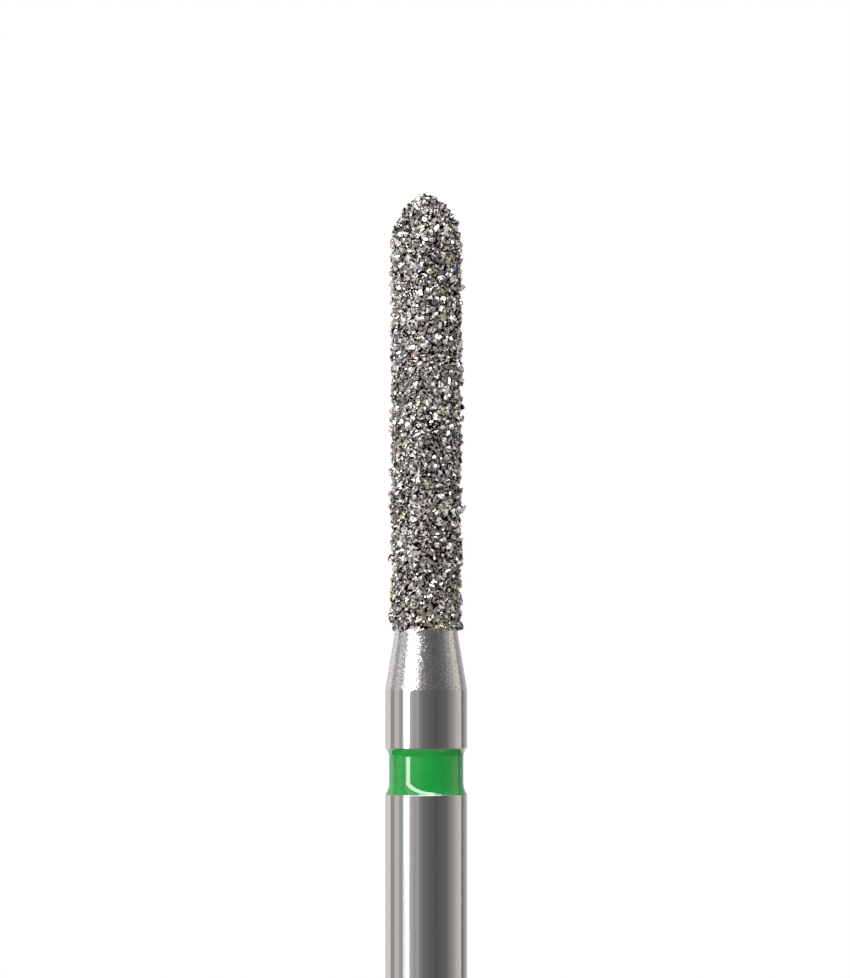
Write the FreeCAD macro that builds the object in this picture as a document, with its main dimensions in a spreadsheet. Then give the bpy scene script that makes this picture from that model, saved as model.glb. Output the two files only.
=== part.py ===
import FreeCAD, Part
import math
import os
import random
from collections import namedtuple

import Sketcher

# Dental bur: a coarse diamond instrument with a friction-grip shank.
# Millimetres, +Z up along the axis of rotation, origin at the centre of the shank's end face.
# Three physical pieces: the turned steel blank, the lacquer ring that fills its colour groove, and
# the crust of diamond grains that is plated onto the blank's thin front end.

SIZES = (
    ("shank_diameter", 1.60, "ground shank that the chuck grips"),
    ("shank_length", 9.17, "end face to the colour groove"),
    ("end_chamfer", 0.15, "chamfer round the end face"),
    ("groove_width", 0.90, "colour groove, along the axis"),
    ("groove_depth", 0.16, "colour groove, below the shank's surface"),
    ("collar_length", 1.16, "polished collar between groove and neck"),
    ("neck_length", 1.09, "cone between collar and front end"),
    ("neck_end_diameter", 1.24, "thin end of the cone"),
    ("neck_blend_radius", 0.75, "rounding where the cone meets the collar"),
    ("bare_end_length", 0.10, "cylinder between the cone and the coating"),
    ("ring_rim_step", 0.006, "how far the lacquer's rims lie below the shank"),
    ("ring_waist_depth", 0.076, "how far the top of the lacquer's waist lies below the shank"),
    ("ring_waist_sag", 0.005, "how much thicker the waist is at its foot, where the lacquer sank"),
    ("upper_meniscus", 0.16, "height of the lacquer's upper curve"),
    ("lower_meniscus", 0.22, "height of the lacquer's lower curve with its straight flare"),
    ("flare_height", 0.10, "height of the straight flare at the lower rim"),
    ("head_length", 8.58, "coated length, lower edge to tip"),
    ("head_diameter", 1.40, "over the crests of the grains"),
    ("coating_thickness", 0.14, "crests of the grains down to the steel"),
    ("ogive_radius", 1.20, "flank of the pointed tip"),
    ("nose_radius", 0.24, "rounded end of the tip"),
    ("grain_spacing", 0.18, "centre to centre of neighbouring grains"),
    ("grain_relief", 0.075, "crests of the grains above the valleys"),
)

COLLAR_TOP = "sizes.shank_length + sizes.groove_width + sizes.collar_length"
COATING_EDGE = COLLAR_TOP + " + sizes.neck_length + sizes.bare_end_length"
TIP = COATING_EDGE + " + sizes.head_length"
SHANK_RADIUS = "sizes.shank_diameter / 2"
CORE_RADIUS = "sizes.head_diameter / 2 - sizes.coating_thickness"
GROOVE_RADIUS = SHANK_RADIUS + " - sizes.groove_depth"
RIM_RADIUS = SHANK_RADIUS + " - sizes.ring_rim_step"
WAIST_RADIUS = SHANK_RADIUS + " - sizes.ring_waist_depth"
WAIST_FOOT_RADIUS = WAIST_RADIUS + " + sizes.ring_waist_sag"

# Places on a piece of sketch geometry, and the sketch's own origin and vertical axis
START, END, CENTRE = 1, 2, 3
ORIGIN = (-1, 1)
VERTICAL_AXIS = -2

# How unlike the grains are: shares of the grain relief and of the step from corner to corner
RANDOM_SEED = 41
CREST_SHARE = 0.40
VALLEY_SHARE = 0.25
SLIDE_SHARE = 0.22
GRAIN_CORNERS = (1, 1, 2, 3)
MESH_FUZZ = 1e-5


def make_sheet(doc):
    """The driving dimensions, one named cell each."""
    sheet = doc.addObject("Spreadsheet::Sheet", "sizes")
    for row, (alias, value, note) in enumerate(SIZES, start=1):
        sheet.set(f"A{row}", note)
        sheet.set(f"B{row}", str(value))
        sheet.setAlias(f"B{row}", alias)
    doc.recompute()
    return sheet


def plane_of(body, role):
    return next(f for f in body.Origin.OriginFeatures if f.Role == role)


def section_sketch(body, name):
    """A half section in the body's XZ plane: sketch X is the radius, sketch Y the height."""
    sketch = body.newObject("Sketcher::SketchObject", name)
    sketch.AttachmentSupport = [(plane_of(body, "XZ_Plane"), "")]
    sketch.MapMode = "FlatFace"
    return sketch


def add_chain(sketch, points):
    """Straight lines from point to point, joined end to start. Returns their indices."""
    vectors = [FreeCAD.Vector(x, y, 0) for x, y in points]
    lines = [sketch.addGeometry(Part.LineSegment(a, b)) for a, b in zip(vectors, vectors[1:])]
    for first, second in zip(lines, lines[1:]):
        join(sketch, first, END, second, START)
    return lines


def add_arc(sketch, centre, radius, start, end):
    circle = Part.Circle(FreeCAD.Vector(*centre, 0), FreeCAD.Vector(0, 0, 1), radius)
    return sketch.addGeometry(Part.ArcOfCircle(circle, start, end))


def join(sketch, first, first_point, second, second_point, kind="Coincident"):
    sketch.addConstraint(Sketcher.Constraint(kind, first, first_point, second, second_point))


def align(sketch, kind, *lines):
    for line in lines:
        sketch.addConstraint(Sketcher.Constraint(kind, line))


def measure(sketch, kind, name, expression, *places):
    """A named dimension whose value comes from the sheet."""
    value = abs(float(sketch.evalExpression(expression)))
    at = sketch.addConstraint(Sketcher.Constraint(kind, *places, value))
    sketch.renameConstraint(at, name)
    sketch.setExpression(f".Constraints.{name}", expression)


def spin(body, sketch, name, kind="PartDesign::Revolution"):
    """A full turn of the sketch about the body's own axis."""
    turned = body.newObject(kind, name)
    turned.Profile = sketch
    turned.ReferenceAxis = (sketch, ["V_Axis"])
    turned.Angle = 360
    sketch.Visibility = False
    body.Document.recompute()
    return turned


def circle_edge(shape, radius, height):
    """Name of the circular edge of that radius at that height."""
    for number, edge in enumerate(shape.Edges, start=1):
        curve = edge.Curve
        if isinstance(curve, Part.Circle) and math.isclose(curve.Radius, radius, abs_tol=1e-6):
            if math.isclose(curve.Center.z, height, abs_tol=1e-6):
                return f"Edge{number}"
    raise ValueError(f"no edge of radius {radius} at height {height}")


def add_torpedo(sketch, sheet, wall, inset):
    """Ogive flank and round nose on top of the vertical line wall, inset from the crests of the grains.

    Returns the index of the nose arc, which ends on the axis."""
    radius = sheet.head_diameter / 2
    reach = sheet.ogive_radius - sheet.nose_radius
    lean = math.acos((sheet.ogive_radius - radius) / reach)
    tip = float(sketch.evalExpression(TIP))
    nose_height = tip - sheet.nose_radius
    shoulder = nose_height - reach * math.sin(lean)
    depth = float(sketch.evalExpression(inset))
    flank = add_arc(sketch, (radius - sheet.ogive_radius, shoulder), sheet.ogive_radius - depth, 0, lean)
    nose = add_arc(sketch, (0, nose_height), sheet.nose_radius - depth, lean, math.pi / 2)
    join(sketch, wall, END, flank, START, "Tangent")
    join(sketch, flank, END, nose, START, "Tangent")
    sketch.addConstraint(Sketcher.Constraint("PointOnObject", nose, CENTRE, VERTICAL_AXIS))
    sketch.addConstraint(Sketcher.Constraint("PointOnObject", nose, END, VERTICAL_AXIS))
    measure(sketch, "Radius", "flank_radius", f"sizes.ogive_radius - ({inset})", flank)
    measure(sketch, "Radius", "nose_radius", f"sizes.nose_radius - ({inset})", nose)
    measure(sketch, "DistanceY", "tip_height", f"{TIP} - ({inset})", *ORIGIN, nose, END)
    return nose


def draw_blank(body, sheet):
    """Half section of the whole blank, from the axis at the end face round to the axis at the tip."""
    sketch = section_sketch(body, "blank_section")
    shank, neck = sheet.shank_diameter / 2, sheet.neck_end_diameter / 2
    core = sheet.head_diameter / 2 - sheet.coating_thickness
    collar_top = float(sketch.evalExpression(COLLAR_TOP))
    edge = float(sketch.evalExpression(COATING_EDGE))
    cone_top = edge - sheet.bare_end_length
    shoulder = edge + sheet.head_length - sheet.ogive_radius
    corners = [(0, 0), (shank, 0), (shank, collar_top)]
    corners += [(neck, cone_top), (neck, edge), (core, edge), (core, shoulder)]
    end_face, wall, cone, bare, step, front = add_chain(sketch, corners)
    join(sketch, end_face, START, *ORIGIN)
    align(sketch, "Horizontal", end_face, step)
    align(sketch, "Vertical", wall, bare, front)
    measure(sketch, "DistanceX", "shank_radius", SHANK_RADIUS, *ORIGIN, wall, START)
    measure(sketch, "DistanceY", "collar_top", COLLAR_TOP, *ORIGIN, wall, END)
    measure(sketch, "DistanceX", "neck_radius", "sizes.neck_end_diameter / 2", *ORIGIN, cone, END)
    measure(sketch, "DistanceY", "neck_length", "sizes.neck_length", cone, START, cone, END)
    measure(sketch, "DistanceY", "bare_length", "sizes.bare_end_length", bare, START, bare, END)
    measure(sketch, "DistanceX", "core_radius", CORE_RADIUS, *ORIGIN, front, START)
    nose = add_torpedo(sketch, sheet, front, "sizes.coating_thickness")
    axis = sketch.addGeometry(Part.LineSegment(FreeCAD.Vector(0, edge, 0), FreeCAD.Vector(0, 0, 0)))
    join(sketch, nose, END, axis, START)
    join(sketch, axis, END, end_face, START)
    return sketch


def draw_groove(body, sheet):
    """The groove's rectangle, which reaches as far out of the shank as into it."""
    sketch = section_sketch(body, "groove_section")
    low, high = sheet.shank_length, sheet.shank_length + sheet.groove_width
    floor = sheet.shank_diameter / 2 - sheet.groove_depth
    outside = floor + 2 * sheet.groove_depth
    corners = ((floor, low), (outside, low), (outside, high), (floor, high), (floor, low))
    bottom, outer, top, inner = add_chain(sketch, corners)
    join(sketch, inner, END, bottom, START)
    align(sketch, "Horizontal", bottom, top)
    align(sketch, "Vertical", outer, inner)
    measure(sketch, "DistanceX", "floor_radius", GROOVE_RADIUS, *ORIGIN, bottom, START)
    measure(sketch, "DistanceX", "cut_reach", "2 * sizes.groove_depth", bottom, START, bottom, END)
    measure(sketch, "DistanceY", "groove_start", "sizes.shank_length", *ORIGIN, bottom, START)
    measure(sketch, "DistanceY", "groove_width", "sizes.groove_width", outer, START, outer, END)
    return sketch


def dress_edge(base, kind, size, radius, height, meaning):
    """A chamfer or fillet on one circular edge of the feature before it, named after its size."""
    feature = base.getParentGeoFeatureGroup().newObject(kind, size)
    feature.Base = (base, [circle_edge(base.Shape, radius, height)])
    feature.setExpression(meaning, f"sizes.{size}")
    feature.Document.recompute()
    return feature


def make_blank(doc, sheet):
    """Shank, collar, cone and thin front end, turned from one bar, with the colour groove cut in."""
    body = doc.addObject("PartDesign::Body", "steel_blank")
    sketch = draw_blank(body, sheet)
    shank, collar_top = sheet.shank_diameter / 2, float(sketch.evalExpression(COLLAR_TOP))
    spin(body, sketch, "turned_blank")
    groove = spin(body, draw_groove(body, sheet), "colour_groove", "PartDesign::Groove")
    chamfer = dress_edge(groove, "PartDesign::Chamfer", "end_chamfer", shank, 0, "Size")
    dress_edge(chamfer, "PartDesign::Fillet", "neck_blend_radius", shank, collar_top, "Radius")
    return body


def add_upper_curve(sketch, waist, height, sag, rise):
    """Hollow curve from the top of the lacquer's waist up and out to its upper rim."""
    radius = (sag**2 + rise**2) / (2 * sag)
    turn = math.asin(rise / radius)
    return add_arc(sketch, (waist + radius, height), radius, math.pi - turn, math.pi)


def add_lower_curve(sketch, foot, drop, widening, tangent):
    """Hollow curve below the waist's foot, and the upper end of the straight flare that it runs into.

    Curve and flare together drop and widen by these amounts. tangent is the length of both end tangents."""
    turn = math.atan(widening / (drop - tangent))
    radius = tangent / math.tan(turn / 2)
    curve = add_arc(sketch, (foot[0] + radius, foot[1]), radius, math.pi, math.pi + turn)
    flare_top = (foot[0] + tangent * math.sin(turn), foot[1] - tangent * (1 + math.cos(turn)))
    return curve, flare_top


def draw_ring(body, sheet):
    """Half section of the lacquer: square at the back, with a tapered waist between two hollow curves."""
    sketch = section_sketch(body, "ring_section")
    shank = sheet.shank_diameter / 2
    floor, rim = shank - sheet.groove_depth, shank - sheet.ring_rim_step
    waist = shank - sheet.ring_waist_depth
    foot = waist + sheet.ring_waist_sag
    low, high = sheet.shank_length, sheet.shank_length + sheet.groove_width
    waist_low, waist_high = low + sheet.lower_meniscus, high - sheet.upper_meniscus
    tangent = (sheet.lower_meniscus - sheet.flare_height) / 2
    lower, flare_top = add_lower_curve(
        sketch, (foot, waist_low), sheet.lower_meniscus, rim - foot, tangent
    )
    upper = add_upper_curve(sketch, waist, waist_high, rim - waist, sheet.upper_meniscus)
    corners = ((rim, high), (floor, high), (floor, low), (rim, low), flare_top)
    top, back, bottom, flare = add_chain(sketch, corners)
    (middle,) = add_chain(sketch, ((waist, waist_high), (foot, waist_low)))
    join(sketch, flare, END, lower, END, "Tangent")
    join(sketch, lower, START, middle, END, "Tangent")
    join(sketch, middle, START, upper, END, "Tangent")
    join(sketch, upper, START, top, START)
    align(sketch, "Horizontal", top, bottom)
    align(sketch, "Vertical", back)
    measure(sketch, "DistanceX", "floor_radius", GROOVE_RADIUS, *ORIGIN, back, START)
    measure(sketch, "DistanceX", "upper_rim", RIM_RADIUS, *ORIGIN, top, START)
    measure(sketch, "DistanceX", "lower_rim", RIM_RADIUS, *ORIGIN, bottom, END)
    measure(sketch, "DistanceX", "waist_radius", WAIST_RADIUS, *ORIGIN, middle, START)
    measure(sketch, "DistanceX", "waist_foot", WAIST_FOOT_RADIUS, *ORIGIN, middle, END)
    measure(sketch, "DistanceY", "ring_start", "sizes.shank_length", *ORIGIN, bottom, END)
    measure(sketch, "DistanceY", "ring_height", "sizes.groove_width", back, END, back, START)
    measure(sketch, "DistanceY", "lower_curve", "sizes.lower_meniscus", bottom, END, middle, END)
    measure(sketch, "DistanceY", "flare_height", "sizes.flare_height", flare, START, flare, END)
    measure(sketch, "DistanceY", "upper_curve", "sizes.upper_meniscus", middle, START, top, START)
    return sketch


def make_ring(doc, sheet):
    """Lacquer that fills the colour groove, hollowed between two curves where it dried."""
    body = doc.addObject("PartDesign::Body", "colour_ring")
    spin(body, draw_ring(body, sheet), "lacquer")
    return body


def make_crest_line(doc, sheet):
    """Outline over the crests of the grains, from the coating's lower edge up to the tip."""
    sketch = doc.addObject("Sketcher::SketchObject", "crest_line")
    sketch.Placement = FreeCAD.Placement(FreeCAD.Vector(), FreeCAD.Rotation(FreeCAD.Vector(1, 0, 0), 90))
    edge = float(sketch.evalExpression(COATING_EDGE))
    radius = sheet.head_diameter / 2
    (side,) = add_chain(sketch, ((radius, edge), (radius, edge + sheet.head_length - sheet.ogive_radius)))
    align(sketch, "Vertical", side)
    measure(sketch, "DistanceX", "head_radius", "sizes.head_diameter / 2", *ORIGIN, side, START)
    measure(sketch, "DistanceY", "coating_edge", COATING_EDGE, *ORIGIN, side, START)
    add_torpedo(sketch, sheet, side, "0")
    doc.recompute()
    return sketch


Corner = namedtuple("Corner", "radius height outward upward turn")
Corner.__doc__ = "A place on the crest line turned about the axis, with the way out of the surface there."


def line_places(sketch, step):
    """Evenly spaced places up the crest line as (radius, height), from its foot to the axis."""
    wire = Part.Wire(Part.__sortEdges__(sketch.Shape.Edges))
    count = math.ceil(wire.Length / step) + 1
    return sorted(((p.x, p.z) for p in wire.discretize(Number=count)), key=lambda place: place[1])


def lay_rings(places, step):
    """Rings of corners about the axis, half a step out of line with the ring below."""
    foot, tip = places[0], places[-1]
    rings = [[Corner(0, foot[1], 0, -1, 0)]]
    for row, (radius, height) in enumerate(places[:-1]):
        before, after = places[max(row - 1, 0)], places[row + 1]
        slope = math.hypot(after[0] - before[0], after[1] - before[1])
        outward, upward = (after[1] - before[1]) / slope, (before[0] - after[0]) / slope
        count = max(3, round(2 * math.pi * radius / step))
        turns = [(k + row % 2 / 2) / count for k in range(count)]
        rings.append([Corner(radius, height, outward, upward, turn) for turn in turns])
    rings.append([Corner(0, tip[1], 0, 1, 0)])
    return rings


def close_band(lower, upper, first_lower, first_upper):
    """Triangles between two rings of corners, which are numbered from first_lower and first_upper."""
    triangles = []
    i = j = 0
    while i < len(lower) or j < len(upper):
        here = (first_lower + i % len(lower), first_upper + j % len(upper))
        next_low = lower[(i + 1) % len(lower)].turn + (i + 1) // len(lower)
        next_high = upper[(j + 1) % len(upper)].turn + (j + 1) // len(upper)
        if j == len(upper) or (i < len(lower) and next_low < next_high):
            i += 1
            triangles.append((here[0], first_lower + i % len(lower), here[1]))
        else:
            j += 1
            triangles.append((here[0], first_upper + j % len(upper), here[1]))
    return [t for t in triangles if len(set(t)) == 3]


def pick_grains(triangles, tip, barred, chance):
    """Sets of one to three neighbouring corners that are the tops of grains. No two sets touch."""
    beside = [set() for corner in range(tip + 1)]
    for triangle in triangles:
        for corner in triangle:
            beside[corner].update(triangle)
    taken, grains = set(barred), []
    for seed in (tip, *chance.sample(range(tip), tip)):
        if seed in taken:
            continue
        grain, size = {seed}, chance.choice(GRAIN_CORNERS)
        for corner in sorted(beside[seed] - taken):
            if len(grain) < size and grain <= beside[corner]:
                grain.add(corner)
        grains.append(grain)
        for corner in grain:
            taken |= beside[corner]
    return grains


def sink_corners(count, grains, relief, chance):
    """Depth of each corner: valleys all over, and one depth for the top of each grain."""
    depths = [relief * (1 + chance.uniform(-VALLEY_SHARE, VALLEY_SHARE)) for corner in range(count)]
    for grain in grains:
        top = relief * chance.uniform(-CREST_SHARE, CREST_SHARE)
        for corner in grain:
            depths[corner] = top
    return depths


def corner_point(corner, depth, slide, turn, tip_height):
    """The corner sunk by depth, slid up the surface and turned a little further about the axis."""
    radius = corner.radius - depth * corner.outward - slide * corner.upward
    height = min(corner.height - depth * corner.upward + slide * corner.outward, tip_height)
    angle = 2 * math.pi * (corner.turn + turn)
    return radius * math.cos(angle), radius * math.sin(angle), height


def place_corners(corners, depths, foot_count, side, chance):
    """Points of the crust. The foot's corners stay level, and its middle and the tip stay on the axis."""
    tip = len(corners) - 1
    points = []
    for number, corner in enumerate(corners):
        slide = side * chance.uniform(-SLIDE_SHARE, SLIDE_SHARE)
        turn = side * chance.uniform(-SLIDE_SHARE, SLIDE_SHARE) / (2 * math.pi * max(corner.radius, side))
        if number < foot_count:
            slide = 0
        if number in (0, tip):
            points.append((0, 0, corner.height))
        else:
            points.append(corner_point(corner, depths[number], slide, turn, corners[tip].height))
    return points


def make_crust(doc, sheet, crest_line):
    """The coating's faceted outside as a closed solid: grains side by side, with valleys between."""
    chance = random.Random(RANDOM_SEED)
    side = sheet.grain_spacing / math.sqrt(3)
    rings = lay_rings(line_places(crest_line, sheet.grain_spacing / 2), side)
    firsts = [sum(len(ring) for ring in rings[:k]) for k in range(len(rings))]
    triangles = []
    for k in range(len(rings) - 1):
        triangles += close_band(rings[k], rings[k + 1], firsts[k], firsts[k + 1])
    corners = [corner for ring in rings for corner in ring]
    foot_count = firsts[2]
    grains = pick_grains(triangles, len(corners) - 1, range(foot_count), chance)
    depths = sink_corners(len(corners), grains, sheet.grain_relief, chance)
    points = place_corners(corners, depths, foot_count, side, chance)
    skin = Part.Shape()
    skin.makeShapeFromMesh((points, triangles), MESH_FUZZ)
    crust = doc.addObject("Part::Feature", "grit_crust")
    crust.Shape = Part.Solid(Part.Shell(skin.Faces))
    print(f"{len(grains)} grains of {len(triangles)} facets")
    return crust


def make_coating(doc, crust, blank):
    """A thimble of plated diamond grains, bored by the blank that it is plated onto."""
    coating = doc.addObject("Part::Cut", "diamond_coating")
    coating.Refine = False
    coating.Base = crust
    coating.Tool = blank
    doc.recompute()
    return coating


def check_document(doc, subparts):
    """Stop before anything is written if a feature failed or a sub-part isn't sound."""
    for thing in doc.Objects:
        if "Invalid" in thing.State or "Error" in thing.State:
            raise RuntimeError(f"{thing.Name} failed: {thing.State}")
    for part in subparts:
        if part.Shape.isNull() or not part.Shape.isValid():
            raise RuntimeError(f"{part.Label} has no sound shape")
        if len(part.Shape.Solids) != 1:
            raise RuntimeError(f"{part.Label} isn't one solid")


def check_groove(sheet, blank):
    """The groove must really take its ring of metal away."""
    shank = sheet.shank_diameter / 2
    ring = math.pi * sheet.groove_width * (shank**2 - (shank - sheet.groove_depth) ** 2)
    groove = blank.getObject("colour_groove")
    removed = groove.BaseFeature.Shape.Volume - groove.Shape.Volume
    if not math.isclose(removed, ring, rel_tol=1e-3):
        raise RuntimeError(f"the colour groove removed {removed} instead of {ring}")


def main():
    doc = FreeCAD.newDocument("dental_bur")
    sheet = make_sheet(doc)
    blank = make_blank(doc, sheet)
    ring = make_ring(doc, sheet)
    crust = make_crust(doc, sheet, make_crest_line(doc, sheet))
    coating = make_coating(doc, crust, blank)
    doc.recompute()
    subparts = (blank, ring, coating)
    check_document(doc, subparts)
    check_groove(sheet, blank)
    os.makedirs("parts", exist_ok=True)
    for part in subparts:
        part.Shape.exportStep(f"parts/{part.Label}.step")
        print(f"{part.Label}: {len(part.Shape.Faces)} faces, {part.Shape.Volume:.4f} mm3")


main()
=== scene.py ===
import math
import random

import bmesh
import bpy
import numpy as np
from mathutils import Matrix, Vector


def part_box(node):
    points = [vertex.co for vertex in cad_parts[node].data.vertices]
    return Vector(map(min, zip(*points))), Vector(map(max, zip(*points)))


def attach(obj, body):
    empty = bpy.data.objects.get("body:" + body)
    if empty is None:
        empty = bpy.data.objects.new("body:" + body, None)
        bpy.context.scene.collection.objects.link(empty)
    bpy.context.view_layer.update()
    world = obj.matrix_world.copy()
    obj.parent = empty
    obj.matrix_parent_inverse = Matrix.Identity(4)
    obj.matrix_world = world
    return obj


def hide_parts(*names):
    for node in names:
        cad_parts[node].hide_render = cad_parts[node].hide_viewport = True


# A coarse diamond dental bur, standing on its shank's end: polished steel shank and collar, green
# lacquer ring, fine-blasted neck and a head plated with diamond grains.

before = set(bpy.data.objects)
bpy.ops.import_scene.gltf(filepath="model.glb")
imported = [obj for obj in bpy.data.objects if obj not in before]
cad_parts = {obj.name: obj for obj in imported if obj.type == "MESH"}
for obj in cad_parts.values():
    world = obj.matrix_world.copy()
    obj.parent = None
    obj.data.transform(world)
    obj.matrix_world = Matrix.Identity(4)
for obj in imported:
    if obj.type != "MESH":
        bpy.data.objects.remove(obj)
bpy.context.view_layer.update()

MM = 0.001

# Sizes that the frame gives
SHANK_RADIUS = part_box("steel_blank")[1].x
RING_LOW, RING_HIGH = (corner.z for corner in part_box("colour_ring"))
COATING_EDGE, TIP = (corner.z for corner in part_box("diamond_coating"))
CORE_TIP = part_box("steel_blank")[1].z

# Turned blank
END_CHAMFER = 0.15 * MM
GROOVE_DEPTH = 0.16 * MM
COLLAR_LENGTH = 1.16 * MM
NECK_LENGTH = 1.09 * MM
NECK_BLEND_RADIUS = 0.75 * MM
NECK_END_RADIUS = 0.62 * MM
COATING_THICKNESS = TIP - CORE_TIP
BROKEN_EDGE = 0.010 * MM
COLLAR_EDGE = 0.018 * MM

# Lacquer
LOWER_RIM_STEP = 0.004 * MM
UPPER_RIM_STEP = 0.012 * MM
WAIST_DEPTH = 0.075 * MM
UPPER_MENISCUS = 0.16 * MM
LOWER_MENISCUS = 0.24 * MM
RING_SWELL = 0.004 * MM
RING_SHIFT = 0.014 * MM

# Head, over the crests of the grains
HEAD_RADIUS = 0.70 * MM
OGIVE_RADIUS = 1.20 * MM
NOSE_RADIUS = 0.24 * MM

# The photograph's view: level, from the front. Columns and rows are pixels.
IMAGE_WIDTH, IMAGE_HEIGHT = 850, 978
SHANK_COLUMNS = 81.4
AXIS_COLUMN = 426.25
TIP_ROW = 192.5
PIXEL = 2 * SHANK_RADIUS / SHANK_COLUMNS
VIEW_HEIGHT = TIP - (IMAGE_HEIGHT / 2 - TIP_ROW) * PIXEL
VIEW_DISTANCE = 200 * MM


# Camera

def make_camera():
    """Level camera in front, with the axis a little right of the image's middle."""
    data = bpy.data.cameras.new("camera")
    data.sensor_fit = "VERTICAL"
    data.lens = data.sensor_height * VIEW_DISTANCE / (IMAGE_HEIGHT * PIXEL)
    data.clip_start = 1 * MM
    camera = bpy.data.objects.new("camera", data)
    aside = (AXIS_COLUMN - IMAGE_WIDTH / 2) * PIXEL
    camera.location = (-aside, -VIEW_DISTANCE, VIEW_HEIGHT)
    camera.rotation_euler = (math.pi / 2, 0, 0)
    bpy.context.scene.collection.objects.link(camera)
    bpy.context.scene.camera = camera


# Shader building

def node(tree, kind, **inputs):
    """A node of that kind. Keywords are its inputs, with _ for a space: a value or a socket."""
    made = tree.nodes.new(kind)
    for name, value in inputs.items():
        plug(tree, made.inputs[name.replace("_", " ")], value)
    return made


def plug(tree, socket, value):
    if isinstance(value, bpy.types.NodeSocket):
        tree.links.new(value, socket)
    else:
        socket.default_value = value


def maths(tree, operation, *values):
    made = tree.nodes.new("ShaderNodeMath")
    made.operation = operation
    for socket, value in zip(made.inputs, values):
        plug(tree, socket, value)
    return made.outputs[0]


def remap(tree, value, low, high):
    """Value from 0 to 1 spread from low to high."""
    spread = node(tree, "ShaderNodeMapRange", Value=value, To_Min=low, To_Max=high)
    return spread.outputs["Result"]


def mix_colours(tree, factor, first, second):
    mixed = tree.nodes.new("ShaderNodeMix")
    mixed.data_type = "RGBA"
    for name, value in (("Factor", factor), ("A", first), ("B", second)):
        plug(tree, mixed.inputs[name], value)
    return mixed.outputs["Result"]


def attribute(tree, name):
    """The value that a mesh attribute gives."""
    made = tree.nodes.new("ShaderNodeAttribute")
    made.attribute_name = name
    return made.outputs["Fac"]


def fill_ramp(ramp, stops):
    """Sets a colour ramp's stops from (place, colour) pairs."""
    elements = ramp.color_ramp.elements
    while len(elements) < len(stops):
        elements.new(1.0)
    for element, (place, colour) in zip(elements, stops):
        element.position = place
        element.color = (*colour, 1)


def new_material(name):
    """A material with its node tree and its Principled BSDF."""
    material = bpy.data.materials.new(name)
    material.use_nodes = True
    tree = material.node_tree
    return material, tree, tree.nodes["Principled BSDF"]


def new_group(name, inputs):
    """A shader node group that gives a mask and a normal, with float inputs (name, default)."""
    tree = bpy.data.node_groups.new(name, "ShaderNodeTree")
    for label, default in inputs:
        socket = tree.interface.new_socket(
            label, in_out="INPUT", socket_type="NodeSocketFloat"
        )
        socket.default_value = default
    for label, kind in (("Mask", "NodeSocketFloat"), ("Normal", "NodeSocketVector")):
        tree.interface.new_socket(label, in_out="OUTPUT", socket_type=kind)
    given = tree.nodes.new("NodeGroupInput").outputs
    result = tree.nodes.new("NodeGroupOutput").inputs
    return tree, given, result


def use_group(tree, group, **inputs):
    made = tree.nodes.new("ShaderNodeGroup")
    made.node_tree = group
    for name, value in inputs.items():
        plug(tree, made.inputs[name.replace("_", " ")], value)
    return made.outputs


def grain_noise(tree, size_mm, detail):
    """Noise whose features are about that many millimetres across, on the object itself."""
    place = node(tree, "ShaderNodeTexCoord").outputs["Object"]
    scale = maths(tree, "DIVIDE", 1 / MM, size_mm)
    noise = node(tree, "ShaderNodeTexNoise", Vector=place, Scale=scale, Detail=detail)
    return noise.outputs["Fac"]


def make_relief_group():
    """Fine relief: speckle of one size, as a mask and as a bumped normal.

    Low and High are the speckle's ends: what lies below Low is flat, what lies above High too.
    """
    tree, given, result = new_group("fine_relief", (
        ("Size mm", 0.05), ("Height mm", 0.002), ("Detail", 2.0), ("Low", 0.0), ("High", 1.0),
    ))
    speckle = grain_noise(tree, given["Size mm"], given["Detail"])
    raised = node(
        tree, "ShaderNodeMapRange", Value=speckle, From_Min=given["Low"], From_Max=given["High"]
    )
    distance = maths(tree, "MULTIPLY", given["Height mm"], MM)
    bump = node(tree, "ShaderNodeBump", Height=raised.outputs["Result"], Distance=distance)
    plug(tree, result["Mask"], raised.outputs["Result"])
    plug(tree, result["Normal"], bump.outputs["Normal"])
    return tree


def make_fracture_and_shade_group():
    """Fine crooked ridges: dark crack lines as a mask, partly real fracture lines and partly
    painted shade of the gaps between grains, and the ridges as a bumped normal.
    """
    tree, given, result = new_group("fractures_and_gap_shade", (
        ("Size mm", 0.1), ("Height mm", 0.02), ("Turns", 20.0), ("Low", -0.7), ("High", 0.3),
    ))
    ground = grain_noise(tree, given["Size mm"], 1.0)
    ridges = maths(tree, "SINE", maths(tree, "MULTIPLY", ground, given["Turns"]))
    dark_lines = node(
        tree, "ShaderNodeMapRange", Value=ridges, From_Min=given["Low"], From_Max=given["High"]
    )
    dark_lines.interpolation_type = "SMOOTHSTEP"
    distance = maths(tree, "MULTIPLY", given["Height mm"], MM)
    bump = node(tree, "ShaderNodeBump", Height=ground, Distance=distance)
    plug(tree, result["Mask"], dark_lines.outputs["Result"])
    plug(tree, result["Normal"], bump.outputs["Normal"])
    return tree


RELIEF = make_relief_group()
FRACTURES_AND_GAP_SHADE = make_fracture_and_shade_group()


# Materials

STEEL = (0.74, 0.73, 0.72, 1)
# How often the grinding lines repeat per metre, across and along the axis
LINE_SCALE = (2e3, 2e3, 6e4)
LINE_DEPTH = 0.00004 * MM

BLASTED_DARK = (0.64, 0.63, 0.62, 1)
BLASTED_BRIGHT = (1.0, 0.99, 0.98, 1)

LACQUER_DEEP = (0.002, 0.22, 0.024, 1)
LACQUER_PALE = (0.005, 0.285, 0.038, 1)
LACQUER_IOR = 1.85

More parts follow.
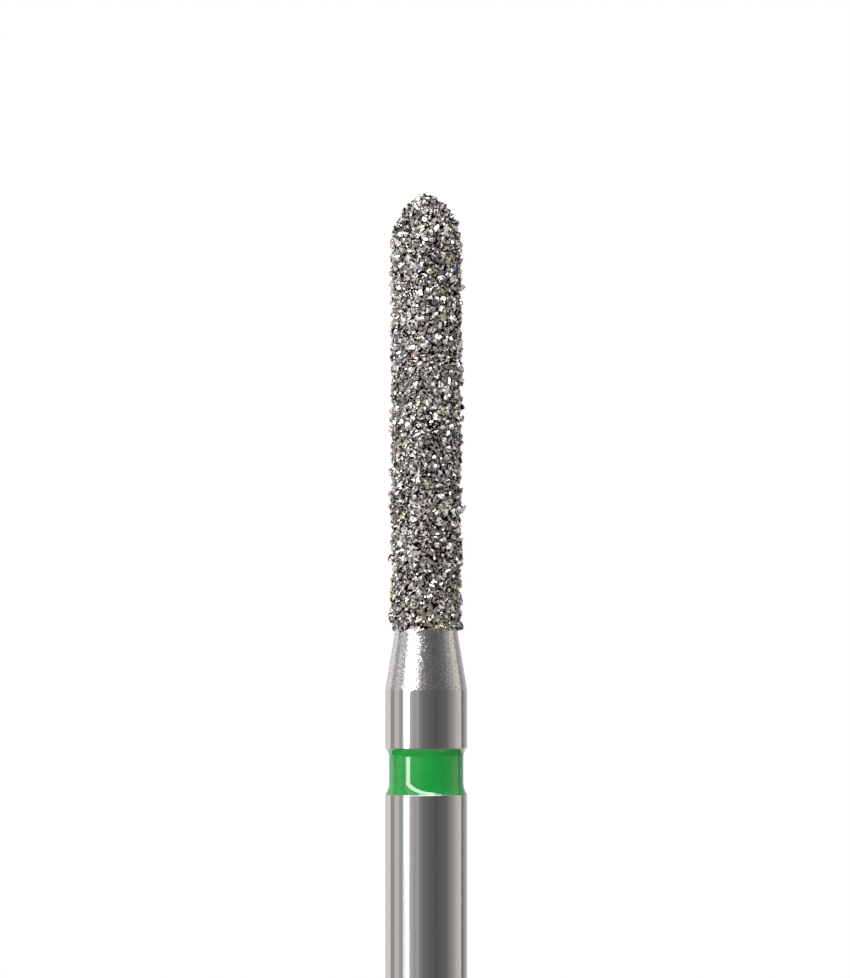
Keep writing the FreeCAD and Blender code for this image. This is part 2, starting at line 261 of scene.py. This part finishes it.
# The same dark crack lines cross the grains and the nickel between them: partly real fracture
# lines, partly painted shade that stands in for the dark gaps between grains.
CRACKS_AND_GAP_SHADE = {"Size_mm": 0.11, "Height_mm": 0.025, "Turns": 22.0, "Low": -0.8, "High": 0.0}
CRACK_AND_GAP_SHADE = (0.006, 0.006, 0.006, 1)
NICKEL_GREY = (0.37, 0.355, 0.33, 1)
GRAIN_IOR = 2.2

# Greys from dull to bright, then yellowish, brown and blue
GRAIN_TONES = (
    (0.00, (0.69, 0.67, 0.63)),
    (0.45, (0.87, 0.85, 0.80)),
    (0.80, (1.00, 0.975, 0.93)),
    (0.84, (0.56, 0.54, 0.37)),
    (0.97, (0.70, 0.68, 0.50)),
    (0.985, (0.50, 0.38, 0.28)),
    (1.00, (0.45, 0.58, 0.74)),
)


def polished_steel():
    """Ground and polished: near mirror, with faint clouding and rings round the axis."""
    material, tree, shader = new_material("polished_steel")
    place = node(tree, "ShaderNodeTexCoord").outputs["Object"]
    rings = node(tree, "ShaderNodeMapping", Vector=place, Scale=LINE_SCALE)
    noise = node(
        tree, "ShaderNodeTexNoise", Vector=rings.outputs["Vector"], Scale=1.0, Detail=2.0
    )
    lines = noise.outputs["Fac"]
    clouds = grain_noise(tree, size_mm=0.6, detail=2.0)
    dullness = maths(tree, "MULTIPLY", lines, clouds)
    bump = node(tree, "ShaderNodeBump", Height=lines, Distance=LINE_DEPTH)
    shader.inputs["Base Color"].default_value = STEEL
    shader.inputs["Metallic"].default_value = 1.0
    plug(tree, shader.inputs["Roughness"], remap(tree, dullness, 0.045, 0.16))
    plug(tree, shader.inputs["Normal"], bump.outputs["Normal"])
    return material


def blasted_steel():
    """The neck's fine-blasted, silky matte skin."""
    material, tree, shader = new_material("blasted_steel")
    relief = use_group(
        tree, RELIEF, Size_mm=0.030, Height_mm=0.0025, Detail=1.0, Low=0.5, High=0.8
    )
    spots = grain_noise(tree, size_mm=0.028, detail=1.0)
    speckle = node(tree, "ShaderNodeMapRange", Value=spots, From_Min=0.35, From_Max=0.65)
    skin = mix_colours(tree, speckle.outputs["Result"], BLASTED_DARK, BLASTED_BRIGHT)
    plug(tree, shader.inputs["Base Color"], skin)
    shader.inputs["Metallic"].default_value = 1.0
    plug(tree, shader.inputs["Roughness"], remap(tree, relief["Mask"], 0.06, 0.22))
    plug(tree, shader.inputs["Normal"], relief["Normal"])
    return material


def green_lacquer():
    """Glossy lacquer, faintly clouded, with a gently uneven skin."""
    material, tree, shader = new_material("green_lacquer")
    clouds = use_group(tree, RELIEF, Size_mm=0.45, Height_mm=0.001, Detail=1.0)
    tint = mix_colours(tree, clouds["Mask"], LACQUER_DEEP, LACQUER_PALE)
    plug(tree, shader.inputs["Base Color"], tint)
    plug(tree, shader.inputs["Roughness"], remap(tree, clouds["Mask"], 0.03, 0.07))
    plug(tree, shader.inputs["Normal"], clouds["Normal"])
    shader.inputs["IOR"].default_value = LACQUER_IOR
    return material


def nickel_bond():
    """Dull electroplated nickel between the grains, darkened along the crack lines: partly real
    fracture lines, partly painted shade of the gaps.
    """
    material, tree, shader = new_material("nickel_bond")
    lumps = use_group(tree, FRACTURES_AND_GAP_SHADE, **CRACKS_AND_GAP_SHADE)
    # The crack lines paint the nickel near black: partly real fracture lines, partly painted shade
    # of the gaps between grains.
    skin = mix_colours(tree, lumps["Mask"], CRACK_AND_GAP_SHADE, NICKEL_GREY)
    plug(tree, shader.inputs["Base Color"], skin)
    plug(tree, shader.inputs["Metallic"], remap(tree, lumps["Mask"], 1.0, 0.5))
    plug(tree, shader.inputs["Roughness"], remap(tree, lumps["Mask"], 0.5, 0.3))
    plug(tree, shader.inputs["Normal"], lumps["Normal"])
    return material


def diamond_grain():
    """Crushed diamond: each grain has its own tone, dark along its crack lines (partly painted
    shade of the gaps between grains), and painted shade where it lies deep.
    """
    material, tree, shader = new_material("diamond_grain")
    ramp = node(tree, "ShaderNodeValToRGB", Fac=attribute(tree, "grain_tone"))
    fill_ramp(ramp, GRAIN_TONES)
    facets = use_group(tree, FRACTURES_AND_GAP_SHADE, **CRACKS_AND_GAP_SHADE)
    # Painted shade: darker where the grain lies deep between the others, and along the crack lines,
    # which are partly painted shade too.
    clear = maths(tree, "MULTIPLY", facets["Mask"], attribute(tree, "grain_painted_light"))
    skin = mix_colours(tree, clear, CRACK_AND_GAP_SHADE, ramp.outputs["Color"])
    plug(tree, shader.inputs["Base Color"], skin)
    plug(tree, shader.inputs["Metallic"], remap(tree, clear, 1.0, 0.5))
    plug(tree, shader.inputs["Roughness"], remap(tree, clear, 0.4, 0.15))
    plug(tree, shader.inputs["Normal"], facets["Normal"])
    shader.inputs["IOR"].default_value = GRAIN_IOR
    return material


# Turned pieces

ON_AXIS = 1e-9
SHARP_ANGLE = math.radians(35)


def arc(centre, radius, start, end, steps):
    """Points on an arc of a half section, angles in radians from the +radius direction."""
    turns = [start + (end - start) * k / steps for k in range(steps + 1)]
    return [(centre[0] + radius * math.cos(t), centre[1] + radius * math.sin(t)) for t in turns]


def round_corner(before, corner, after, radius, steps=6):
    """The corner of a half section as an arc of that radius, tangent to both its sides."""
    here = Vector(corner)
    to_before = (Vector(before) - here).normalized()
    to_after = (Vector(after) - here).normalized()
    half = to_before.angle(to_after) / 2
    middle = here + (to_before + to_after).normalized() * radius / math.sin(half)
    first = here + to_before * radius / math.tan(half)
    last = here + to_after * radius / math.tan(half)
    points = []
    for k in range(steps + 1):
        spoke = (first - middle).lerp(last - middle, k / steps).normalized() * radius
        points.append(tuple(middle + spoke))
    return points


def step_towards(point, goal, step=0.015 * MM):
    """A point a little way along, which keeps the long face beyond it flat in its shading."""
    here, there = Vector(point), Vector(goal)
    return tuple(here + (there - here).normalized() * step)


def soften(corners):
    """A half section through corners that are given as (point, rounding radius)."""
    points = []
    for k, (corner, radius) in enumerate(corners):
        if not radius:
            points.append(corner)
            continue
        before, after = corners[k - 1][0], corners[k + 1][0]
        rounded = round_corner(before, corner, after, radius)
        points.append(step_towards(rounded[0], before))
        points += rounded
        points.append(step_towards(rounded[-1], after))
    return points


def torpedo(inset, steps=24):
    """Ogive flank and round nose, that far inside the crests of the grains, up to the axis."""
    reach = OGIVE_RADIUS - NOSE_RADIUS
    lean = math.acos((OGIVE_RADIUS - HEAD_RADIUS) / reach)
    nose_height = TIP - NOSE_RADIUS
    shoulder = nose_height - reach * math.sin(lean)
    flank = arc((HEAD_RADIUS - OGIVE_RADIUS, shoulder), OGIVE_RADIUS - inset, 0, lean, steps)
    nose = arc((0, nose_height), NOSE_RADIUS - inset, lean, math.pi / 2, steps)
    return flank + nose[1:-1] + [(0, TIP - inset)]


def turn(name, outline, materials, which=lambda height: 0, segments=256, wobble=None):
    """A piece turned from a half section. which gives the material's number at a height."""
    builder = bmesh.new()
    rings = []
    for radius, height in outline:
        if radius < ON_AXIS:
            rings.append([builder.verts.new((0, 0, height))])
            continue
        ring = []
        for k in range(segments):
            angle = 2 * math.pi * k / segments
            out, up = wobble(angle, radius, height) if wobble else (0, 0)
            reach = radius + out
            place = (reach * math.cos(angle), reach * math.sin(angle), height + up)
            ring.append(builder.verts.new(place))
        rings.append(ring)
    for lower, upper in zip(rings, rings[1:]):
        close_band(builder, lower, upper, segments, which)
    if outline[0][0] > ON_AXIS:
        close_band(builder, rings[-1], rings[0], segments, which)
    mesh = bpy.data.meshes.new(name)
    bmesh.ops.recalc_face_normals(builder, faces=builder.faces)
    builder.to_mesh(mesh)
    builder.free()
    for material in materials:
        mesh.materials.append(material)
    mesh.shade_smooth()
    mesh.set_sharp_from_angle(angle=SHARP_ANGLE)
    return add_piece(name, mesh)


def close_band(builder, lower, upper, segments, which):
    """Faces between two rings, either of which may be a single point on the axis."""
    for k in range(segments):
        after = k + 1
        corners = [lower[k % len(lower)], lower[after % len(lower)]]
        corners += [upper[after % len(upper)], upper[k % len(upper)]]
        corners = list(dict.fromkeys(corners))
        if len(corners) < 3:
            continue
        face = builder.faces.new(corners)
        face.material_index = which(face.calc_center_median().z)


def add_piece(name, mesh):
    piece = bpy.data.objects.new(name, mesh)
    bpy.context.scene.collection.objects.link(piece)
    return piece


def stand_for(piece, node_name):
    """The piece takes the CAD node's place on the one body, and the CAD node is hidden."""
    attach(piece, "root")
    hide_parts(node_name)


def make_blank():
    """The whole steel blank, also where the lacquer and the coating hide it."""
    collar_top = RING_HIGH + COLLAR_LENGTH
    neck_top = collar_top + NECK_LENGTH
    groove_floor = SHANK_RADIUS - GROOVE_DEPTH
    core = HEAD_RADIUS - COATING_THICKNESS
    corners = (
        ((0, 0), 0),
        ((SHANK_RADIUS - END_CHAMFER, 0), BROKEN_EDGE),
        ((SHANK_RADIUS, END_CHAMFER), BROKEN_EDGE),
        ((SHANK_RADIUS, RING_LOW), BROKEN_EDGE),
        ((groove_floor, RING_LOW), 0),
        ((groove_floor, RING_HIGH), 0),
        ((SHANK_RADIUS, RING_HIGH), COLLAR_EDGE),
        ((SHANK_RADIUS, collar_top), NECK_BLEND_RADIUS),
        ((NECK_END_RADIUS, neck_top), NECK_BLEND_RADIUS),
        ((NECK_END_RADIUS, COATING_EDGE), 0),
        ((core, COATING_EDGE), 0),
    )
    outline = soften(corners) + torpedo(COATING_THICKNESS)
    materials = (polished_steel(), blasted_steel())
    blank = turn("blank", outline, materials, which=lambda height: int(height > collar_top))
    stand_for(blank, "steel_blank")


def hollow(waist, start, sag, rise):
    """The curve from the waist's end out to the rim: an arc that leaves the waist tangent to it."""
    radius = (sag**2 + rise**2) / (2 * sag)
    turned = math.asin(rise / radius)
    return arc((waist + radius, start), radius, math.pi, math.pi - turned, steps=16)


def make_ring():
    """Lacquer in its groove, hollowed where it dried, with slightly uneven curves."""
    waist = SHANK_RADIUS - WAIST_DEPTH
    floor = SHANK_RADIUS - GROOVE_DEPTH
    lower_sag = WAIST_DEPTH - LOWER_RIM_STEP
    upper_sag = WAIST_DEPTH - UPPER_RIM_STEP
    lower = hollow(waist, RING_LOW + LOWER_MENISCUS, lower_sag, -LOWER_MENISCUS)[::-1]
    upper = hollow(waist, RING_HIGH - UPPER_MENISCUS, upper_sag, UPPER_MENISCUS)
    outline = [(floor, RING_LOW)] + lower
    outline += [step_towards(lower[-1], upper[0]), step_towards(upper[0], lower[-1])]
    outline += upper + [(floor, RING_HIGH)]

    def uneven(angle, radius, height):
        """Two swells and three waves round the ring, strongest at the waist's middle."""
        middle = min(height - RING_LOW, RING_HIGH - height) / (RING_HIGH - RING_LOW) * 2
        depth = (SHANK_RADIUS - radius) / WAIST_DEPTH if radius > floor else 0
        swell = RING_SWELL * depth * math.sin(2 * angle + 0.8)
        shift = RING_SHIFT * middle * depth * math.sin(3 * angle + 2.1)
        return swell, shift

    ring = turn("lacquer_ring", outline, (green_lacquer(),), wobble=uneven)
    stand_for(ring, "colour_ring")


# Coating

# Each size of grain: radius, how far its centre lies below the crests in radii, and the number of
# places that are tried
GRAIN_SIZES = (
    (0.100 * MM, 0.85, 1500),
    (0.082 * MM, 0.85, 6000),
    (0.066 * MM, 0.95, 8000),
    (0.050 * MM, 1.35, 9000),
    (0.036 * MM, 2.0, 12000),
)
TIP_GRAIN = (0.06 * MM, 0.7)
# Two grains' centres are at least this share of their radii apart.
CLOSENESS = 0.84
# A cell of the grid that finds a grain's neighbours is as wide as the largest grain.
CELL = 0.2 * MM
# This near the tip there are no grains larger than a fine one.
FINE_TIP = 0.55 * MM
FINE_GRAIN = 0.07 * MM
HEIGHT_SPREAD = 0.018 * MM

# Crystals, in parts of a grain's radius
CRYSTAL_KINDS = 24
FEWEST_CUTS, CUT_CHOICES = 9, 4
BLOCK_SIZE = 1.7
CUT_REACH = (0.58, 0.95)
# Corners closer than the first become one, and slivers thinner than the second go.
WELD, SLIVER = 0.05, 0.02
BEVEL = 0.10
STRETCH = (0.8, 1.15)
# A grain's centre lies at most this far above the nickel, which holds the grain.
SEATING = 0.75

# Depths below the crests for the grains' painted shade: none above the first, painted fully dark
# below the last, as shade in the gaps between grains would fall. The skin of the nickel lies
# between.
SHADE_START_DEPTH = 0.037 * MM
NICKEL_DEPTH = 0.070 * MM
FULL_SHADE_DEPTH = 0.085 * MM

GRAIN_PIECES = 3
BOND_ROWS = 180
BOND_SEGMENTS = 120
BOND_LUMP = 0.012 * MM
# Only the skin's straight part is lumpy.
BOND_STRAIGHT = 0.98

GRAIN_SEED = 7
BOND_SEED = 3


class HeadSurface:
    """The head's outline over the crests, walked by arc length from its foot to the tip."""

    half_step = 0.01 * MM

    def __init__(self):
        outline = [(HEAD_RADIUS, COATING_EDGE)] + torpedo(0, steps=60)
        self.points = np.array(outline)
        steps = np.hypot(*np.diff(self.points, axis=0).T)
        self.along = np.concatenate(([0], np.cumsum(steps)))
        self.length = self.along[-1]
        radii = (self.points[1:, 0] + self.points[:-1, 0]) / 2
        self.area = np.concatenate(([0], np.cumsum(2 * math.pi * radii * steps)))

    def random_place(self, chance):
        """A place with equal chance all over the surface: (distance along the outline, angle)."""
        along = np.interp(chance.uniform(0, self.area[-1]), self.area, self.along)
        return float(along), chance.uniform(0, 2 * math.pi)

    def section(self, along):
        """Radius and height there."""
        return [np.interp(along, self.along, values) for values in self.points.T]

    def at(self, along, angle):
        """Point and outward normal there."""
        radius, height = self.section(along)
        ahead = min(along + self.half_step, self.length)
        back = max(ahead - 2 * self.half_step, 0)
        run, rise = np.subtract(self.section(ahead), self.section(back))
        normal = Vector((rise * math.cos(angle), rise * math.sin(angle), -run)).normalized()
        return Vector((radius * math.cos(angle), radius * math.sin(angle), height)), normal


def random_direction(chance):
    return Vector((chance.gauss(0, 1), chance.gauss(0, 1), chance.gauss(0, 1))).normalized()


def random_turn(chance):
    """A random rotation as a 3 by 3 array."""
    axis = random_direction(chance)
    return np.array(Matrix.Rotation(chance.uniform(0, 2 * math.pi), 3, axis))


def cut_crystal(chance, cuts):
    """A crushed crystal of about unit radius: a block cut by random planes, its edges broken."""
    builder = bmesh.new()
    bmesh.ops.create_cube(builder, size=BLOCK_SIZE)
    for cut in range(cuts):
        normal = random_direction(chance)
        everything = builder.verts[:] + builder.edges[:] + builder.faces[:]
        reach = chance.uniform(*CUT_REACH)
        sliced = bmesh.ops.bisect_plane(
            builder, geom=everything, plane_co=normal * reach, plane_no=normal, clear_outer=True
        )
        rim = [part for part in sliced["geom_cut"] if isinstance(part, bmesh.types.BMEdge)]
        if rim:
            bmesh.ops.edgeloop_fill(builder, edges=rim)
    bmesh.ops.remove_doubles(builder, verts=builder.verts, dist=WELD)
    bmesh.ops.dissolve_degenerate(builder, edges=builder.edges, dist=SLIVER)
    bmesh.ops.bevel(
        builder, geom=builder.edges[:], offset=BEVEL, offset_type="OFFSET", segments=1,
        affect="EDGES", clamp_overlap=True,
    )
    bmesh.ops.triangulate(builder, faces=builder.faces)
    bmesh.ops.recalc_face_normals(builder, faces=builder.faces)
    corners = np.array([tuple(v.co) for v in builder.verts])
    triangles = np.array([[v.index for v in f.verts] for f in builder.faces])
    builder.free()
    return corners, triangles


class Grid:
    """Grains by the cell that holds them, to find those near a place."""

    around = [(x, y, z) for x in (-1, 0, 1) for y in (-1, 0, 1) for z in (-1, 0, 1)]

    def __init__(self):
        self.cells = {}

    def key(self, place):
        return tuple(int(c // CELL) for c in place)

    def add(self, place, radius):
        self.cells.setdefault(self.key(place), []).append((place, radius))

    def has_room(self, place, radius):
        """Whether a grain of that radius fits there."""
        x, y, z = self.key(place)
        near = [
            other for dx, dy, dz in self.around
            for other in self.cells.get((x + dx, y + dy, z + dz), ())
        ]
        return all((place - spot).length > CLOSENESS * (radius + size) for spot, size in near)


def scatter_grains(surface, chance):
    """Grains from the largest to the smallest, each where it fits between those before it."""
    crest, normal = surface.at(surface.length, 0)
    placed = [(crest, normal, *TIP_GRAIN)]
    grid = Grid()
    grid.add(crest, TIP_GRAIN[0])
    for radius, sink, tries in GRAIN_SIZES:
        for attempt in range(tries):
            crest, normal = surface.at(*surface.random_place(chance))
            if radius > FINE_GRAIN and crest.z > TIP - FINE_TIP:
                continue
            if grid.has_room(crest, radius):
                grid.add(crest, radius)
                placed.append((crest, normal, radius, sink))
    return placed


def make_grains():
    """All diamond grains, in pieces from the foot to the tip."""
    chance = random.Random(GRAIN_SEED)
    crystals = [
        cut_crystal(chance, FEWEST_CUTS + k % CUT_CHOICES) for k in range(CRYSTAL_KINDS)
    ]
    grains = scatter_grains(HeadSurface(), chance)
    grains.sort(key=lambda grain: grain[0].z)
    material = diamond_grain()
    share = math.ceil(len(grains) / GRAIN_PIECES)
    for number in range(GRAIN_PIECES):
        members = grains[number * share:(number + 1) * share]
        name = f"diamond_grains_{number + 1}"
        piece = join_grains(name, members, crystals, material, chance)
        stand_for(piece, "diamond_coating")


def join_grains(name, grains, crystals, material, chance):
    """One mesh of many separate grains, with each grain's tone on its faces.

    Its corners hold a painted shade of the gaps: 1, unshaded, near the crests, down to 0, painted
    dark, deep between the grains.
    """
    all_corners, all_triangles, tones, free = [], [], [], []
    count = 0
    for crest, normal, radius, sink in grains:
        corners, triangles = chance.choice(crystals)
        stretch = np.array([chance.uniform(*STRETCH) for axis in range(3)])
        depth = radius * sink + chance.gauss(0, HEIGHT_SPREAD)
        depth = max(depth, NICKEL_DEPTH - SEATING * radius)
        centre = np.array(crest - normal * depth)
        shaped = (corners * stretch) @ random_turn(chance).T * radius + centre
        shaped[:, 2] -= max(shaped[:, 2].max() - TIP, 0)
        below = (np.array(crest) - shaped) @ np.array(normal)
        # Painted shade: lightness 1 above the shade's start depth, falling to 0 at the full shade
        # depth.
        free.append(np.clip((FULL_SHADE_DEPTH - below) / (FULL_SHADE_DEPTH - SHADE_START_DEPTH), 0, 1))
        all_corners.append(shaped)
        all_triangles.append(triangles + count)
        tones.append(np.full(len(triangles), chance.random()))
        count += len(corners)
    mesh = bpy.data.meshes.new(name)
    mesh.from_pydata(np.concatenate(all_corners), [], np.concatenate(all_triangles))
    for label, domain, values in (("grain_tone", "FACE", tones), ("grain_painted_light", "POINT", free)):
        layer = mesh.attributes.new(label, "FLOAT", domain)
        layer.data.foreach_set("value", np.concatenate(values))
    mesh.materials.append(material)
    return add_piece(name, mesh)


def make_bond():
    """The nickel between the grains: a lumpy skin a little below their crests."""
    foot = HEAD_RADIUS - NICKEL_DEPTH
    top = torpedo(NICKEL_DEPTH)
    straight = top[0][1] - COATING_EDGE
    outline = [(HEAD_RADIUS - COATING_THICKNESS, COATING_EDGE), (foot, COATING_EDGE)]
    outline += [(foot, COATING_EDGE + straight * k / BOND_ROWS) for k in range(1, BOND_ROWS)]
    outline += top
    chance = random.Random(BOND_SEED)

    def lumps(angle, radius, height):
        if radius < foot * BOND_STRAIGHT:
            return 0, 0
        return chance.uniform(-1, 1) * BOND_LUMP, 0

    bond = turn("nickel_bond", outline, (nickel_bond(),), segments=BOND_SEGMENTS, wobble=lumps)
    stand_for(bond, "diamond_coating")


# Studio

CARD_RADIUS = 120 * MM
CARD_HEIGHT = 170 * MM
FOOT_RADIUS = 60 * MM
SHEET_HEIGHT = 0.5 * MM
SHEET_COLUMNS = 48

# Cards round the bur, from behind left round the front to behind: first and last azimuth in degrees
# (0 in front, negative to the left), and the grey at each end
CARDS = (
    ("left_edge", -164, -122, (0.72, 0.69, 0.72), (0.84, 0.79, 0.83)),
    ("left_slot", -122, -100, (0.36, 0.34, 0.33), (0.40, 0.39, 0.37)),
    ("left_pale", -99, -86, (0.66, 0.64, 0.60), (0.60, 0.58, 0.56)),
    ("left_cool", -85, -70, (0.42, 0.45, 0.44), (0.32, 0.37, 0.37)),
    ("left_tent", -48, -31, (0.59, 0.57, 0.55), (0.37, 0.365, 0.36)),
    ("left_line", -31, -21, (0.43, 0.425, 0.42), (0.45, 0.445, 0.44)),
    ("front_grey", -21, -11, (0.31, 0.30, 0.30), (0.22, 0.22, 0.22)),
    ("front_dark", -11, 30, (0.20, 0.195, 0.20), (0.10, 0.10, 0.10)),
    ("right_dark", 30, 62, (0.11, 0.11, 0.115), (0.16, 0.16, 0.165)),
    ("right_rise", 62, 90, (0.19, 0.19, 0.19), (0.42, 0.42, 0.42)),
    ("right_beige", 90, 116, (0.52, 0.50, 0.47), (0.78, 0.71, 0.62)),
    ("right_slot", 117, 130, (0.25, 0.25, 0.24), (0.20, 0.20, 0.19)),
    ("right_violet", 130, 164, (0.30, 0.29, 0.34), (0.62, 0.61, 0.66)),
    ("back_grey", 164, 196, (0.30, 0.30, 0.30), (0.30, 0.30, 0.30)),
)
# Distance and height of a sheet's two long edges: the cards' walls, and their feet on the floor
WALL_EDGES = ((CARD_RADIUS, 0), (CARD_RADIUS, CARD_HEIGHT))
FOOT_EDGES = ((FOOT_RADIUS, SHEET_HEIGHT), (CARD_RADIUS, SHEET_HEIGHT))

# Just above the floor a grey sheet lies close round the bur, and a dark one from there to the feet
# of the cards.
APRON_GREY = (0.34, 0.33, 0.31)
APRON_EDGES = ((1.2 * MM, SHEET_HEIGHT), (8 * MM, SHEET_HEIGHT))
FLAG_START, FLAG_END = -135, 140
FLAG_GREY = (0.16, 0.15, 0.13)
FLAG_EDGES = ((8 * MM, SHEET_HEIGHT), (FOOT_RADIUS, SHEET_HEIGHT))

# A long softbox, in degrees as the bur sees it: upright below its level, leaning over the bur above
STRIP_AZIMUTH = -59
STRIP_LEAN = 57
STRIP_LEVEL = 9 * MM
STRIP_DISTANCE = 110 * MM
STRIP_START, STRIP_END = -4.4, 92
STRIP_WIDTH = 15
STRIP_COLUMNS, STRIP_ROWS = 4, 40
STRIP_RADIANCE = 7.0
STRIP_TINT = (1.0, 0.93, 0.98, 1)

FLOOR_REACH = 3.0
FLOOR_WHITE = (0.90, 0.90, 0.90, 1)
# Out to the first distance the floor keeps the bur's shadow, beyond the last it is plain white.
FLOOR_FADE = (30 * MM, 100 * MM)


def direction_of(azimuth, elevation):
    """Unit vector towards that azimuth and elevation, both in degrees."""
    aside, rise = math.radians(azimuth), math.radians(elevation)
    level = math.cos(rise)
    return Vector((math.sin(aside) * level, -math.cos(aside) * level, math.sin(rise)))


def card_material():
    """Glow in the card's own shade, the same for every card."""
    known = bpy.data.materials.get("studio_card")
    if known:
        return known
    material, tree, shader = new_material("studio_card")
    tree.nodes.remove(shader)
    shade = tree.nodes.new("ShaderNodeAttribute")
    shade.attribute_name = "card_shade"
    glow = node(tree, "ShaderNodeEmission", Color=shade.outputs["Color"], Strength=1.0)
    plug(tree, tree.nodes["Material Output"].inputs["Surface"], glow.outputs["Emission"])
    return material


def make_sheet(name, first, last, near, far, edges, lights):
    """A curved sheet that glows evenly, from one grey at its first azimuth to another at its last.

    Only gloss sees it unless it lights.
    """
    builder = bmesh.new()
    shade = builder.verts.layers.float_color.new("card_shade")
    pairs = []
    for k in range(SHEET_COLUMNS + 1):
        outward = direction_of(first + (last - first) * k / SHEET_COLUMNS, 0)
        pair = [
            builder.verts.new(outward * reach + Vector((0, 0, height)))
            for reach, height in edges
        ]
        colour = Vector(near).lerp(Vector(far), k / SHEET_COLUMNS)
        for vert in pair:
            vert[shade] = (*colour, 1)
        pairs.append(pair)
    for (a, b), (c, d) in zip(pairs, pairs[1:]):
        builder.faces.new((a, c, d, b))
    sheet = stage_sheet(name, builder, card_material())
    sheet.visible_diffuse = lights


def stage_sheet(name, builder, material):
    """A glowing sheet from the built mesh. The camera doesn't see it and it casts no shadow."""
    mesh = bpy.data.meshes.new(name)
    builder.to_mesh(mesh)
    builder.free()
    mesh.materials.append(material)
    sheet = add_piece(name, mesh)
    sheet.visible_camera = False
    sheet.visible_shadow = False
    return sheet


def make_strip():
    """A long, narrow softbox on the left that rises from the bur's level and leans over it."""
    foot = direction_of(STRIP_AZIMUTH, 0)
    level = direction_of(STRIP_AZIMUTH + 90, 0)
    lean = math.radians(STRIP_LEAN)
    upright = Vector((0, 0, 1))
    climb = level * math.cos(lean) + upright * math.sin(lean)
    across = foot.cross(climb)
    middle = Vector((0, 0, STRIP_LEVEL))
    builder = bmesh.new()
    grid = []
    for row in range(STRIP_ROWS + 1):
        along = math.radians(STRIP_START + (STRIP_END - STRIP_START) * row / STRIP_ROWS)
        rise = climb if along > 0 else upright
        spine = foot * math.cos(along) + rise * math.sin(along)
        line = []
        for column in range(STRIP_COLUMNS + 1):
            aside = math.radians(STRIP_WIDTH * (column / STRIP_COLUMNS - 0.5))
            place = spine * math.cos(aside) + across * math.sin(aside)
            line.append(builder.verts.new(middle + place * STRIP_DISTANCE))
        grid.append(line)
    for low, high in zip(grid, grid[1:]):
        for k in range(STRIP_COLUMNS):
            builder.faces.new((low[k], low[k + 1], high[k + 1], high[k]))
    material, tree, shader = new_material("strip_glow")
    tree.nodes.remove(shader)
    glow = node(tree, "ShaderNodeEmission", Color=STRIP_TINT, Strength=STRIP_RADIANCE)
    plug(tree, tree.nodes["Material Output"].inputs["Surface"], glow.outputs["Emission"])
    stage_sheet("strip", builder, material)


def make_lamp(name, azimuth, elevation, distance, width, height, radiance):
    """A rectangular softbox that faces the bur, of that radiance."""
    data = bpy.data.lights.new(name, "AREA")
    data.shape = "RECTANGLE"
    data.size, data.size_y = width, height
    data.energy = radiance * math.pi * width * height
    lamp = bpy.data.objects.new(name, data)
    direction = direction_of(azimuth, elevation)
    lamp.location = direction * distance + Vector((0, 0, VIEW_HEIGHT))
    lamp.rotation_euler = direction.to_track_quat("Z", "Y").to_euler()
    lamp.visible_camera = False
    bpy.context.scene.collection.objects.link(lamp)


def seen_directly(tree):
    """1 for rays that show the background: from the camera, in gloss and through clear material."""
    path = tree.nodes.new("ShaderNodeLightPath").outputs
    shown = maths(tree, "MAXIMUM", path["Is Camera Ray"], path["Is Glossy Ray"])
    return maths(tree, "MAXIMUM", shown, path["Is Transmission Ray"])


def make_floor():
    """White floor that keeps the bur's shadow and fades to plain white further out."""
    signs = ((-1, -1), (1, -1), (1, 1), (-1, 1))
    corners = [(x * FLOOR_REACH, y * FLOOR_REACH, 0) for x, y in signs]
    mesh = bpy.data.meshes.new("floor")
    mesh.from_pydata(corners, [], [(0, 1, 2, 3)])
    material, tree, shader = new_material("floor_white")
    shader.inputs["Base Color"].default_value = FLOOR_WHITE
    shader.inputs["Roughness"].default_value = 0.9
    shader.inputs["Specular IOR Level"].default_value = 0.1
    place = node(tree, "ShaderNodeTexCoord").outputs["Object"]
    away = node(tree, "ShaderNodeVectorMath", Vector=place)
    away.operation = "LENGTH"
    fade = node(
        tree, "ShaderNodeMapRange", Value=away.outputs["Value"],
        From_Min=FLOOR_FADE[0], From_Max=FLOOR_FADE[1], To_Min=0.6, To_Max=1.0,
    )
    glow = node(tree, "ShaderNodeEmission", Strength=1.0)
    share = maths(tree, "MULTIPLY", seen_directly(tree), fade.outputs["Result"])
    mixed = node(tree, "ShaderNodeMixShader", Fac=share)
    plug(tree, mixed.inputs[1], shader.outputs["BSDF"])
    plug(tree, mixed.inputs[2], glow.outputs["Emission"])
    plug(tree, tree.nodes["Material Output"].inputs["Surface"], mixed.outputs["Shader"])
    mesh.materials.append(material)
    add_piece("floor", mesh)


def make_world():
    """White all round where it is seen, a plain soft grey as light."""
    world = bpy.data.worlds.new("studio")
    world.use_nodes = True
    bpy.context.scene.world = world
    tree = world.node_tree
    background = tree.nodes["Background"]
    background.inputs["Color"].default_value = (1, 1, 1, 1)
    strength = remap(tree, seen_directly(tree), 0.8, 1.0)
    plug(tree, background.inputs["Strength"], strength)


def make_studio():
    make_world()
    make_floor()
    for name, *shape in CARDS:
        make_sheet(name, *shape, WALL_EDGES, lights=True)
        make_sheet(name + "_foot", *shape, FOOT_EDGES, lights=False)
    make_sheet("apron", -180, 180, APRON_GREY, APRON_GREY, APRON_EDGES, lights=False)
    make_sheet("flag", FLAG_START, FLAG_END, FLAG_GREY, FLAG_GREY, FLAG_EDGES, lights=False)
    make_strip()
    make_lamp(
        "top", azimuth=20, elevation=72, distance=200 * MM, width=180 * MM, height=140 * MM,
        radiance=2.5,
    )


make_camera()
make_blank()
make_ring()
make_bond()
make_grains()
make_studio()
bpy.context.scene.view_settings.view_transform = "Standard"
